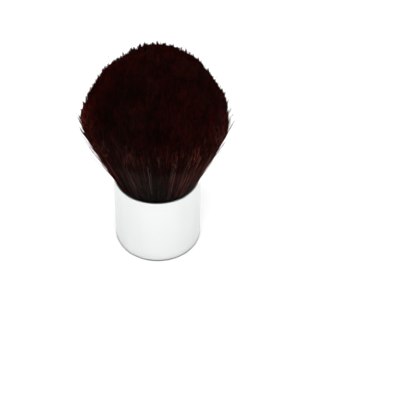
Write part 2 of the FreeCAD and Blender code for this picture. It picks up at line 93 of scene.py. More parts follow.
def linear(hex_colour: str) -> tuple[float, float, float, float]:
    """Turn an sRGB colour into the linear one that Blender's sockets take.

    Args:
        hex_colour: Colour as "#rrggbb".

    Returns:
        Linear red, green and blue, and an alpha of 1.
    """
    channels = []
    # The sRGB curve has a straight foot, and above it a power.
    for start in (1, 3, 5):
        share = int(hex_colour[start:start + 2], 16) / 255
        channels.append(share / 12.92 if share <= 0.04045 else ((share + 0.055) / 1.055) ** 2.4)
    return (*channels, 1.0)


def join(tree: Tree, source: Any, socket: bpy.types.NodeSocket) -> None:
    """Feed an input of a node.

    Args:
        tree: Tree that the node is in.
        source: Node or output to link from, or a value to set.
        socket: The input.
    """
    if isinstance(source, Node):
        source = next(item for item in source.outputs if item.enabled)
    if isinstance(source, bpy.types.NodeSocket):
        tree.links.new(source, socket)
    else:
        socket.default_value = source


def add(tree: Tree, kind: str, inputs: Inputs | None = None, **settings: Any) -> Node:
    """Add a node with its settings and links.

    Args:
        tree: Tree that the node goes into.
        kind: Blender's name for the kind of node.
        inputs: What feeds each input, by the input's name or place.
        settings: Properties of the node, which are set before its inputs.

    Returns:
        The new node.
    """
    node = tree.nodes.new(kind)
    for name, setting in settings.items():
        setattr(node, name, setting)
    for key, source in (inputs or {}).items():
        named = [item for item in node.inputs if item.name == key and item.enabled]
        join(tree, source, named[0] if named else node.inputs[key])
    return node


def set_ramp(ramp: Node, stops: Stops) -> None:
    """Give a colour ramp its stops.

    Args:
        ramp: Colour ramp node.
        stops: Place from 0 to 1 and hex colour of each stop, in order.
    """
    elements = ramp.color_ramp.elements
    while len(elements) < len(stops):
        elements.new(1.0)
    for element, (place, colour) in zip(elements, stops):
        element.position = place
        element.color = linear(colour)


def put(name: str, data: bpy.types.ID) -> Piece:
    """Put an object into the scene.

    Args:
        name: Name of the object.
        data: Its mesh, camera or light.

    Returns:
        The object.
    """
    thing = bpy.data.objects.new(name, data)
    bpy.context.scene.collection.objects.link(thing)
    return thing


class GrowthTree:
    """Geometry Nodes tree with named inputs, which is run and leaves a plain mesh."""

    # Kind of socket for each type of value.
    KINDS = {float: "NodeSocketFloat", int: "NodeSocketInt", tuple: "NodeSocketVector"}

    def __init__(self, name: str, material: Material, values: dict[str, Any]) -> None:
        """Start the tree with its named inputs.

        Args:
            name: Name of the tree.
            material: Material of what it makes.
            values: A value for each named input, whose type gives the kind of socket.
        """
        self.tree = bpy.data.node_groups.new(name, "GeometryNodeTree")
        self.material = material
        face = self.tree.interface
        face.new_socket("Geometry", in_out="INPUT", socket_type="NodeSocketGeometry")
        self.identifiers = {}
        for label, value in values.items():
            item = face.new_socket(label, in_out="INPUT", socket_type=self.KINDS[type(value)])
            self.identifiers[label] = item.identifier
        face.new_socket("Geometry", in_out="OUTPUT", socket_type="NodeSocketGeometry")
        self.inputs = add(self.tree, "NodeGroupInput").outputs

    def add(self, kind: str, inputs: Inputs | None = None, **settings: Any) -> Node:
        """Add a node to this tree."""
        return add(self.tree, kind, inputs, **settings)

    def close(self, geometry: Node) -> None:
        """End the tree: realize what it made and give it its material.

        Args:
            geometry: Node whose geometry is the result.
        """
        real = self.add("GeometryNodeRealizeInstances", {"Geometry": geometry})
        dressed = self.add("GeometryNodeSetMaterial", {"Geometry": real, "Material": self.material})
        self.add("NodeGroupOutput", {"Geometry": dressed})

    def grow(self, name: str, seed: Mesh, values: dict[str, Any], keep: tuple[str, ...] = ()) -> Piece:
        """Run the tree on a mesh.

        Args:
            name: Name of the piece.
            seed: Mesh that the tree starts from.
            values: Value of each named input.
            keep: Attributes of the result that its material reads.

        Returns:
            An object at the origin with the result as a plain mesh.
        """
        carrier = put(f"{name}_carrier", seed)
        modifier = carrier.modifiers.new(self.tree.name, "NODES")
        modifier.node_group = self.tree
        for label, value in values.items():
            modifier[self.identifiers[label]] = value
        graph = bpy.context.evaluated_depsgraph_get()
        mesh = bpy.data.meshes.new_from_object(carrier.evaluated_get(graph), depsgraph=graph)
        carrier.modifiers.remove(modifier)
        bpy.data.objects.remove(carrier)
        bpy.data.meshes.remove(seed)
        mesh.name = name
        for attribute in list(mesh.attributes):
            if not attribute.is_required and not attribute.is_internal and attribute.name not in keep:
                mesh.attributes.remove(attribute)
        return put(name, mesh)


@dataclass(frozen=True)
class Relief:
    """How deep marks go into a surface, and the strength with which they show."""

    depth: float
    strength: float

    def of(self, marks: Node) -> Inputs:
        """Work out the inputs of a bump from the marks."""
        return {"Height": marks, "Strength": self.strength, "Distance": self.depth * MM}


@dataclass(frozen=True)
class Finish:
    """A material and how its surface was made."""

    name: str

    def make(self) -> Material:
        """Build the material.

        Returns:
            A new material whose shader takes what the finish gives it.
        """
        material = bpy.data.materials.new(self.name)
        material.use_nodes = True
        tree = material.node_tree
        tree.nodes.clear()
        shader = add(tree, "ShaderNodeBsdfPrincipled", self.surface(tree))
        add(tree, "ShaderNodeOutputMaterial", {"Surface": shader})
        return material

    def surface(self, tree: Tree) -> Inputs:
        """Work out the surface.

        Args:
            tree: Tree of the material, which the finish's pattern goes into.

        Returns:
            What feeds each input of the shader.
        """
        raise NotImplementedError


def specks(tree: Tree, size: float, detail: float) -> Node:
    """Draw uneven specks all over.

    Args:
        tree: Tree of the material.
        size: Size of a speck in millimetres.
        detail: How many finer layers of specks lie within it.

    Returns:
        Noise node whose value runs from 0 to 1.
    """
    place = add(tree, PLACE).outputs["Object"]
    return add(tree, NOISE, {"Vector": place, "Scale": 1 / (size * MM), "Detail": detail})


def lathe_marks(tree: Tree, spacing: float) -> Node:
    """Draw uneven lines round the Z axis, on walls and end faces alike.

    Args:
        tree: Tree of the material.
        spacing: Width of a line in millimetres.

    Returns:
        Noise node whose value runs from 0 to 1 across the lines.
    """
    place = add(tree, PLACE).outputs["Object"]
    flat = add(tree, VECTOR, {0: place, 1: LEVEL}, operation="MULTIPLY")
    radius = add(tree, VECTOR, {0: flat}, operation="LENGTH").outputs["Value"]
    height = add(tree, "ShaderNodeSeparateXYZ", {"Vector": place}).outputs["Z"]
    across = add(tree, NUMBER, {0: radius, 1: height}, operation="ADD")
    lines = {"W": across, "Scale": 1 / (spacing * MM), "Detail": 2.0}
    return add(tree, NOISE, lines, noise_dimensions="1D")


@dataclass(frozen=True)
class PolishedAluminium(Finish):
    """Aluminium, drawn and then buffed on a lathe.

    The buffing lines run round it, so it mirrors well from side to side and blurs what it shows up and
    down. Hands have left faint smudges. The real lines are finer than a pixel, so they are drawn coarser.
    """

    name: str = "aluminium_drawn_and_polished"
    colour: str = "#d5d7d6"
    anisotropy: float = 0.8
    # Share of a turn between the tangent round the axis and the way in which the metal blurs.
    blur_turn: float = 0.25
    line: float = 0.2
    line_relief: Relief = Relief(0.02, 0.04)
    smudge: float = 9.0
    # Roughness of the metal, and of the smudges on it.
    clean: float = 0.28
    smudged: float = 0.34

    def surface(self, tree: Tree) -> Inputs:
        """Lay buffing lines and smudges on a bright metal.

        Args:
            tree: Tree of the material.

        Returns:
            What feeds each input of the shader.
        """
        lines = lathe_marks(tree, self.line)
        smudges = specks(tree, self.smudge, detail=3.0)
        gloss = {**NOISE_SPAN, "To Min": self.clean, "To Max": self.smudged}
        return {
            "Base Color": linear(self.colour),
            "Metallic": 1.0,
            "Roughness": add(tree, RANGE, {"Value": smudges, **gloss}),
            "Anisotropic": self.anisotropy,
            "Anisotropic Rotation": self.blur_turn,
            "Tangent": add(tree, "ShaderNodeTangent", direction_type="RADIAL", axis="Z"),
            "Normal": add(tree, BUMP, self.line_relief.of(lines)),
        }


@dataclass(frozen=True)
class MouldedPlastic(Finish):
    """ABS, injection moulded in black. It is satin, with the fine grain of an eroded mould."""

    name: str = "abs_moulded_black"
    colour: str = "#0b0a0a"
    ior: float = 1.54
    roughness: tuple[float, float] = (0.4, 0.6)
    grain: float = 0.25
    grain_relief: Relief = Relief(0.03, 0.2)

    def surface(self, tree: Tree) -> Inputs:
        """Lay the mould's grain on black plastic.

        Args:
            tree: Tree of the material.

        Returns:
            What feeds each input of the shader.
        """
        grain = specks(tree, self.grain, detail=2.0)
        low, high = self.roughness
        return {
            "Base Color": linear(self.colour),
            "IOR": self.ior,
            "Roughness": add(tree, RANGE, {"Value": grain, "To Min": low, "To Max": high}),
            "Normal": add(tree, BUMP, self.grain_relief.of(grain)),
        }


@dataclass(frozen=True)
class TurnedSteel(Finish):
    """Mild steel, turned on a lathe and oiled.

    Tool marks run round it, and the oil leaves darker patches.
    """

    name: str = "steel_turned"
    bright: str = "#b9babc"
    dark: str = "#8b8a89"
    roughness: tuple[float, float] = (0.25, 0.45)
    feed: float = 0.3
    feed_relief: Relief = Relief(0.04, 0.5)
    stain: float = 5.0
    # Values of the stains' pattern at which the steel is darkest and brightest.
    stain_edges: tuple[float, float] = (0.35, 0.65)

    def surface(self, tree: Tree) -> Inputs:
        """Lay tool marks and oil stains on the steel.

        Args:
            tree: Tree of the material.

        Returns:
            What feeds each input of the shader.
        """
        marks = lathe_marks(tree, self.feed)
        stains = specks(tree, self.stain, detail=4.0)
        colour = add(tree, RAMP, {"Fac": stains})
        set_ramp(colour, tuple(zip(self.stain_edges, (self.dark, self.bright))))
        low, high = self.roughness
        return {
            "Base Color": colour,
            "Metallic": 1.0,
            "Roughness": add(tree, RANGE, {"Value": marks, "To Min": low, "To Max": high}),
            "Normal": add(tree, BUMP, self.feed_relief.of(marks)),
        }


@dataclass(frozen=True)
class Mottled(Finish):
    """A body in which a pale and a deep colour mix, with a skin that isn't quite even.

    Light goes some way into a clear body, and a fibrous one has a soft sheen.
    """

    name: str
    pale: str
    deep: str
    patch: float
    roughness: float
    ior: float = 1.5
    clearness: float = 0.0
    sheen: float = 0.0
    relief: Relief = Relief(0.1, 0.4)

    def surface(self, tree: Tree) -> Inputs:
        """Lay patches of both colours, in relief, on the body.

        Args:
            tree: Tree of the material.

        Returns:
            What feeds each input of the shader.
        """
        patches = specks(tree, self.patch, detail=3.0)
        colour = add(tree, RAMP, {"Fac": patches})
        set_ramp(colour, ((NOISE_LOW, self.deep), (NOISE_HIGH, self.pale)))
        return {
            "Base Color": colour,
            "Roughness": self.roughness,
            "IOR": self.ior,
            "Subsurface Weight": self.clearness,
            "Subsurface Scale": MM,
            "Sheen Weight": self.sheen,
            "Normal": add(tree, BUMP, self.relief.of(patches)),
        }


# Hot-melt adhesive sets to a cream, waxy bead. Epoxy resin casts glossy and amber, and shows its depth.
HOT_MELT = Mottled("hot_melt_adhesive_set", "#ece3cb", "#d5c59d", 2.0, 0.35, ior=1.48, clearness=0.4)
EPOXY = Mottled("epoxy_resin_cast", "#b47f35", "#7c4d17", 4.0, 0.12, ior=1.55, clearness=0.25)
# Waxed cotton thread is dull, and fine patches stand for its fibres.
COTTON = Mottled(
    "cotton_thread_waxed", "#d9c9a6", "#a58d62", 0.12, 0.6, sheen=0.3, relief=Relief(0.05, 0.5)
)


@dataclass(frozen=True)
class DyedHair(Finish):
    """Goat hair, dyed a dark red brown and trimmed.

    Each hair has its own tone, and the palest tones are greyish: painted highlight for the glints of the
    floor on single hairs of the flare. The colour is darkest at the root, as painted shade where the dome
    overhangs the lower flare, and at the tip, partly from dye and partly as painted shade for the light
    lost among tips seen end on, so the trimmed dome is almost black. The flare shows the paler lengths.
    A hair lets some red light through, so the rim of the tuft glows dark red.
    """

    name: str = "goat_hair_dyed_dark_brown"
    # Colours by tone at the root, along the length and at the tip. The dark roots are painted shade, the
    # dark tips partly dye and partly painted shade, and the greyish top tones of the roots and lengths are
    # painted highlight.
    roots: Stops = ((0.3, "#030202"), (0.55, "#060404"), (0.85, "#26201e"))
    lengths: Stops = ((0.1, "#0a0505"), (0.5, "#140c0a"), (0.75, "#271916"), (0.95, "#52423c"))
    tips: Stops = ((0.25, "#060403"), (0.5, "#0b0504"), (0.8, "#170a08"))
    # Shares of a hair's reach between which root turns into length, and length into tip.
    root_fade: tuple[float, float] = (0.18, 0.56)
    tip_fade: tuple[float, float] = (0.62, 0.92)
    roughness: float = 0.45
    ior: float = 1.55
    specular: float = 0.002
    # How far light goes in a hair, in millimetres, and the shares of that for red, green and blue.
    glow_depth: float = 0.2
    glow: tuple[float, float, float] = (1.0, 0.06, 0.04)

    def surface(self, tree: Tree) -> Inputs:
        """Lay each hair's tone, and the dye and painted shade that change along it, on the hair.

        Args:
            tree: Tree of the material.

        Returns:
            What feeds each input of the shader.
        """
        tone = add(tree, "ShaderNodeAttribute", attribute_name="tone").outputs["Fac"]
        reach = add(tree, "ShaderNodeAttribute", attribute_name="reach").outputs["Fac"]
        colour = add(tree, RAMP, {"Fac": tone})
        set_ramp(colour, self.roots)
        # The root colours are painted shade, and the tip colours partly dye and partly painted shade.
        for stops, (low, high) in ((self.lengths, self.root_fade), (self.tips, self.tip_fade)):
            ramp = add(tree, RAMP, {"Fac": tone})
            set_ramp(ramp, stops)
            grown = add(tree, RANGE, {"Value": reach, "From Min": low, "From Max": high})
            colour = add(tree, BLEND, {"Factor": grown, "A": colour, "B": ramp}, data_type="RGBA")
        return {
            "Base Color": colour,
            "Roughness": self.roughness,
            "IOR": self.ior,
            "Specular IOR Level": self.specular,
            "Subsurface Weight": 1.0,
            "Subsurface Radius": self.glow,
            "Subsurface Scale": self.glow_depth * MM,
        }


@dataclass(frozen=True)
class SoftBox:
    """A soft light: where its middle is, its width and height, and its power in watts."""

    name: str
    place: tuple[float, float, float]
    size: tuple[float, float]
    power: float


@dataclass(frozen=True)
class Flag:
    """A dark card that stands beside the brush and faces it.

    The azimuth is the way in which it lies, from +X.
    """

    name: str
    azimuth: float
    width: float


@dataclass
class Studio:
    """Pale floor, soft lights, and the camera where the photographer's stood.

    The camera was fitted to the outline of the standing brush: foot_across and foot_down are the pixel of
    the picture at which the middle of the foot appears. The flags and the shade, a disc of painted shadow
    under the foot, show only in reflections, where they give the metal its darker bands and the dark line
    at its foot.
    """

    lens: float = 120.0
    sensor: float = 36.0
    picture_side: float = 420.0
    distance: float = 501.5
    elevation: float = 46.28
    roll: float = 1.25
    foot_across: float = 158.63
    foot_down: float = 231.64
    aim: tuple[float, float, float] = (0.0, 0.0, 40.0)
    floor_radius: float = 3000.0
    ring_steps: int = 96
    floor_colour: str = "#fafafa"
    sky_top: str = "#ffffff"
    sky_edge: str = "#fafafa"
    # Heights on a sphere of radius 1 at which the sky has its colour at the edge and at the top.
    sky_heights: tuple[float, float] = (0.05, 0.7)
    sky_strength: float = 0.8
    boxes: tuple[SoftBox, ...] = (
        SoftBox("key_box", (0.0, -350.0, 950.0), (1000.0, 1000.0), 9.0),
        SoftBox("right_box", (800.0, 500.0, 300.0), (350.0, 900.0), 2.0),
        SoftBox("left_box", (-800.0, -400.0, 300.0), (350.0, 900.0), 2.0),
    )
    flags: tuple[Flag, ...] = (
        Flag("flag_front_left", 210.0, 60.0),
        Flag("flag_front_right", 330.0, 30.0),
        Flag("flag_back_right", 50.0, 90.0),
        Flag("flag_back_left", 130.0, 90.0),
    )
    flag_distance: float = 150.0
    flag_height: float = 120.0
    # Colour of the flags, and of the disc of painted shadow under the foot.
    flag_colour: str = "#181818"
    shade_radius: float = 15.7
    shade_height: float = 0.02

    def place_camera(self) -> None:
        """Put the camera at the photograph's angle and framing."""
        tilt = math.radians(self.elevation)
        right = Vector((1, 0, 0))
        forward = Vector((0, math.cos(tilt), -math.sin(tilt)))
        up = Vector((0, math.sin(tilt), math.cos(tilt)))
        focal = self.lens / self.sensor * self.picture_side
        across = (self.foot_across - self.picture_side / 2) / focal
        down = (self.foot_down - self.picture_side / 2) / focal
        place = (forward + right * across - up * down) * -self.distance * MM
        turn = math.radians(self.roll)
        rolled_right = right * math.cos(turn) + up * math.sin(turn)
        rolled_up = up * math.cos(turn) - right * math.sin(turn)
        data = bpy.data.cameras.new("camera")
        data.lens = self.lens
        data.sensor_width = self.sensor
        camera = put("camera", data)
        axes = Matrix((rolled_right, rolled_up, -forward)).transposed()
        camera.matrix_world = Matrix.Translation(place) @ axes.to_4x4()
        bpy.context.scene.camera = camera

    def set_up(self, name: str, corners: list[Vector], colour: str) -> Piece:
        """Set up a flat, matte thing that isn't part of the brush.

        Args:
            name: Name of the thing.
            corners: Its corners in millimetres, in order.
            colour: Its colour.

        Returns:
            The thing.
        """
        mesh = bpy.data.meshes.new(name)
        mesh.from_pydata([corner * MM for corner in corners], [], [list(range(len(corners)))])
        material = bpy.data.materials.new(f"paper_matte_{name}")
        material.use_nodes = True
        shader = material.node_tree.nodes["Principled BSDF"].inputs
        shader["Base Color"].default_value = linear(colour)
        shader["Roughness"].default_value = 1.0
        shader["Specular IOR Level"].default_value = 0.0
        mesh.materials.append(material)
        thing = put(name, mesh)
        return thing

    def ring(self, radius: float, height: float) -> list[Vector]:
        """Put the corners of a round thing on a level circle."""
        turns = [FULL_TURN * step / self.ring_steps for step in range(self.ring_steps)]
        return [Vector((math.cos(turn) * radius, math.sin(turn) * radius, height)) for turn in turns]

    def lay_floor(self) -> None:
        """Lay a round, pale floor."""
        self.set_up("floor", self.ring(self.floor_radius, 0.0), self.floor_colour)

    def stand_flag(self, flag: Flag) -> None:
        """Stand a card where only reflections show it.

        Args:
            flag: The card.
        """
        turn = math.radians(flag.azimuth)
        foot = Vector((math.cos(turn), math.sin(turn), 0)) * self.flag_distance
        aside = Vector((-math.sin(turn), math.cos(turn), 0)) * flag.width / 2
        rise = Vector((0, 0, self.flag_height))
        corners = [foot - aside, foot + aside, foot + aside + rise, foot - aside + rise]
        self.show_reflected(self.set_up(flag.name, corners, self.flag_colour))

    def show_reflected(self, thing: Piece) -> None:
        """Let only reflections show a thing.

        Args:
            thing: The thing.
        """
        thing.visible_camera = False
        thing.visible_diffuse = False
        thing.visible_shadow = False

    def lay_shade(self) -> None:
        """Lay a disc of painted shadow for the gap under the foot's round edge, which only the metal
        shows.
        """
        corners = self.ring(self.shade_radius, self.shade_height)
        self.show_reflected(self.set_up("foot_shade", corners, self.flag_colour))

    def hang_light(self, box: SoftBox) -> None:
        """Hang a soft box that faces the brush.

        Args:
            box: The soft box.
        """
        data = bpy.data.lights.new(box.name, "AREA")
        data.shape = "RECTANGLE"
        data.size, data.size_y = (side * MM for side in box.size)
        data.energy = box.power
        light = put(box.name, data)
        light.location = Vector(box.place) * MM
        way = Vector(self.aim) - Vector(box.place)
        light.rotation_euler = way.to_track_quat("-Z", "Y").to_euler()
        light.visible_camera = False

    def light_sky(self) -> None:
        """Fill the room with pale light, brightest overhead."""
        world = bpy.data.worlds.new("studio")
        world.use_nodes = True
        bpy.context.scene.world = world
        tree = world.node_tree
        place = add(tree, PLACE).outputs["Generated"]
        height = add(tree, "ShaderNodeSeparateXYZ", {"Vector": place}).outputs["Z"]
        colour = add(tree, RAMP, {"Fac": height})
        set_ramp(colour, tuple(zip(self.sky_heights, (self.sky_edge, self.sky_top))))
        background = tree.nodes["Background"].inputs
        join(tree, colour, background["Color"])
        background["Strength"].default_value = self.sky_strength

    def build(self) -> None:
        """Set up the camera, the floor, the lights and what only reflections show."""
        bpy.context.scene.view_settings.view_transform = "Standard"
        self.place_camera()
        self.lay_floor()
        self.lay_shade()
        self.light_sky()
        for box in self.boxes:
            self.hang_light(box)
        for flag in self.flags:
            self.stand_flag(flag)


def dress(node: str, material: Material) -> Piece:
    """Give a CAD node its material.

    Args:
        node: Name of the node.
        material: Material for all of it.

    Returns:
        The node's object.
    """
    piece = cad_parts[node]
    for slot in piece.material_slots:
        slot.material = material
    return piece


class Handle:
    """The grip: the polished shell, and the black cup that shows as a ring inside its lip."""

    def build(self) -> list[Piece]:
        """Dress the shell and the cup."""
        return [
            dress("handle_shell", PolishedAluminium().make()),
            dress("hair_cup", MouldedPlastic().make()),
        ]


class Weight:
    """What lies under the cup and round it: the steel slug and the adhesive."""

    def build(self) -> list[Piece]:
        """Dress the slug, its bed and the ring of adhesive."""
        adhesive = HOT_MELT.make()
        return [
            dress("ballast_slug", TurnedSteel().make()),
            dress("glue_bed", adhesive),
            dress("glue_ring", adhesive),
        ]


@dataclass
class Binding:
    """What holds the roots: the resin block, and the thread wound round the bundle above it."""

    turns: float = 4.0
    pitch: float = 1.25
    thread_radius: float = 0.4
    plies: int = 3
    lay_length: float = 2.6
    points_per_lay: int = 12
    sides: int = 8

    def thread_tree(self, values: dict[str, Any]) -> GrowthTree:
        """Build the tree that winds a thread of twisted plies.

        Args:
            values: A value for each of its inputs.

        Returns:
            The tree.
        """
        recipe = GrowthTree("thread_winding", COTTON.make(), values)
        given = recipe.inputs
        points_per_turn = recipe.add(NUMBER, {0: given["Points"], 1: given["Turns"]}, operation="DIVIDE")
        spiral = recipe.add(
            "GeometryNodeCurveSpiral",
            {
                "Resolution": points_per_turn,
                "Rotations": given["Turns"],
                "Start Radius": given["Winding Radius"],
                "End Radius": given["Winding Radius"],
                "Height": given["Height"],
            },
        )
        raised = recipe.add("GeometryNodeSetPosition", {"Geometry": spiral, "Offset": given["Start"]})
        plies = recipe.add(COPIES, {"Geometry": raised, "Amount": given["Plies"]}, domain="SPLINE")
        along = recipe.add("GeometryNodeSplineParameter").outputs["Length"]
        lays = recipe.add(NUMBER, {0: along, 1: given["Lay Length"]}, operation="DIVIDE")
        ply = plies.outputs["Duplicate Index"]
        share = recipe.add(NUMBER, {0: ply, 1: given["Plies"]}, operation="DIVIDE")
        rounds = recipe.add(NUMBER, {0: lays, 1: share}, operation="ADD")
        angle = recipe.add(NUMBER, {0: rounds, 1: FULL_TURN}, operation="MULTIPLY")
        twist = recipe.add(
            "FunctionNodeAxisAngleToRotation",
            {"Axis": recipe.add("GeometryNodeInputTangent"), "Angle": angle},
        )
        aside = recipe.add(
            "FunctionNodeRotateVector",
            {"Vector": recipe.add("GeometryNodeInputNormal").outputs["Normal"], "Rotation": twist},
        )
        offset = recipe.add(VECTOR, {0: aside, "Scale": given["Ply Offset"]}, operation="SCALE")
        twisted = recipe.add("GeometryNodeSetPosition", {"Geometry": plies, "Offset": offset})
        section = recipe.add(CIRCLE, {"Resolution": given["Sides"], "Radius": given["Ply Radius"]})
        recipe.close(recipe.add(TUBES, {"Curve": twisted, "Profile Curve": section, "Fill Caps": True}))
        return recipe

    def wind_thread(self) -> Piece:
        """Wind the thread where the solid winding is.

        Returns:
            The thread as one piece.
        """
        low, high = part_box("binding_thread")
        winding_radius = high.x - self.thread_radius * MM
        # Plies that touch each other lie on a circle of this share of their own radius.
        spread = 1 / math.sin(math.pi / self.plies)
        ply_radius = self.thread_radius / (1 + spread)
        length = FULL_TURN * winding_radius * self.turns
        values = {
            "Turns": self.turns,
            "Winding Radius": winding_radius,
            "Height": self.turns * self.pitch * MM,
            "Start": (0.0, 0.0, low.z + self.thread_radius * MM),
            "Points": round(length / (self.lay_length * MM) * self.points_per_lay),
            "Plies": self.plies,
            "Ply Radius": ply_radius * MM,
            "Ply Offset": ply_radius * spread * MM,
            "Lay Length": self.lay_length * MM,
            "Sides": self.sides,
        }
        seed = bpy.data.meshes.new("thread_seed")
        thread = self.thread_tree(values).grow("thread_winding", seed, values)
        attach(thread, BODY)
        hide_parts("binding_thread")
        return thread

    def build(self) -> list[Piece]:
        """Dress the resin and wind the thread."""
        return [dress("root_resin", EPOXY.make()), self.wind_thread()]


@dataclass(frozen=True)
class LayerSizes:
    """CAD node of a layer, its shares of the tuft's radius, its sectors and the points of its hairs."""

    node: str
    shares: tuple[float, float]
    sectors: int
    points: int


class HairLayer(LayerSizes, Enum):
    """Layers of the tuft, from its axis outwards."""

    CORE = ("hair_core", (0.0, 0.22), 1, 6)
    INNER = ("hair_inner_locks", (0.22, 0.48), 2, 6)
    MIDDLE = ("hair_middle_locks", (0.48, 0.74), 3, 6)
    OUTER = ("hair_outer_locks", (0.74, 1.0), 6, 8)


@dataclass(frozen=True)
class Combing:
    """How a piece's hairs lie and how their tones mix.

    A hair is drawn towards its strand all along, and towards its clump at the tip. Lobes and steps make
    the dome uneven over many hairs: a few clumps stand a step proud. Uneven and splay do so over single
    hairs, and longer adds to every hair. A hair's tone is partly its own and partly shared with its strand
    or its clump, and then partly that of its patch of the dome.
    """

    hairs_per_square: float = 13.0
    # Goat hair is about 0.07 mm thick. It is drawn coarser, so that single hairs show.
    hair_radius: float = 0.09
    tip_radius: float = 0.075
    lobe_size: float = 13.0
    lobe_height: float = 0.4
    clump_size: float = 0.8
    clump_pull: float = 0.5
    clump_step: float = 1.6
    strand_size: float = 0.8
    strand_pull: float = 0.45
    wave_size: float = 4.0
    wave: float = 0.5
    uneven: float = 0.55
    longer: float = -0.35
    splay: float = 0.25
    patch_size: float = 6.0
    patch_tone: float = 0.3
    shared_tone: float = 0.6
    clump_tone: float = 1.0

    def values(self) -> dict[str, float]:
        """Work out the inputs of the bristle tree.

        Returns:
            Each field by name, in metres, with a scale for each size of a pattern.
        """
        values = {}
        for name, value in asdict(self).items():
            label = name.replace("_", " ").title()
            if name.endswith("_size"):
                values[label.replace("Size", "Scale")] = 1 / (value * MM)
            elif name.endswith("_square"):
                values[label] = value / MM ** 2
            elif name.endswith(("_pull", "_tone")):
                values[label] = value
            else:
                values[label] = value * MM
        return values


COMBED = Combing()
# The flare's strands are finer and less straight.
FLARED = Combing(
    strand_size=0.5, wave_size=3.0, wave=0.8, patch_tone=0.1, shared_tone=0.35, clump_tone=0.0
)
# Single hairs that the shears missed, and single hairs that stand off the flare.
UNTRIMMED = Combing(hairs_per_square=0.045, hair_radius=0.06, uneven=2.5, longer=1.0, splay=1.2, wave=1.5)
UNCOMBED = Combing(hairs_per_square=0.1, hair_radius=0.06, uneven=4.0, longer=-2.0, splay=1.2, wave=2.0)
# Small tufts at the shoulder that the shears missed.
MISSED = Combing(hairs_per_square=1.6, hair_radius=0.06, uneven=1.6, longer=1.6, splay=0.9, wave=1.2)


